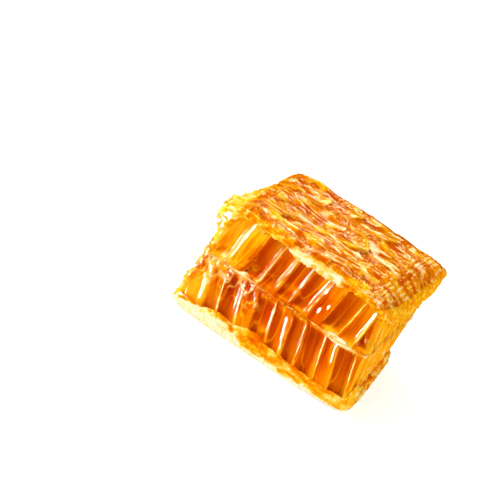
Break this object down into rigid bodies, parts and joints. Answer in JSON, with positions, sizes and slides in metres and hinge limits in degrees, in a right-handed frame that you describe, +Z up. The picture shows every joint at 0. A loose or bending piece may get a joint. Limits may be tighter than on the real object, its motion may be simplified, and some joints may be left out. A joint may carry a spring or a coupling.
{
  "type": "honeycomb piece",
  "caption": "Hand-cut chunk of capped comb honey: two layers of honey cells back to back on a wax midrib, between wet wax cappings.",
  "frame": {"origin": "under the middle of the piece's bounding box, on the flat underside of its base capping", "axes": "+X to the right along the long side of the front cut face, +Y to the back, +Z up through the layers of the comb"},
  "size_m": [0.054, 0.0466, 0.0341],
  "materials": {
    "base_capping": "satin beeswax",
    "lower_honey": "wet honey in wax cells",
    "midrib_wax": "satin beeswax",
    "upper_honey": "wet honey in wax cells",
    "top_capping": "beeswax wet with honey"
  },
  "bodies": {
    "root": {"capping_lower": "base_capping", "cells_lower": "lower_honey", "midrib": "midrib_wax", "cells_upper": "upper_honey", "capping_upper": "top_capping"}
  },
  "joints": []
}
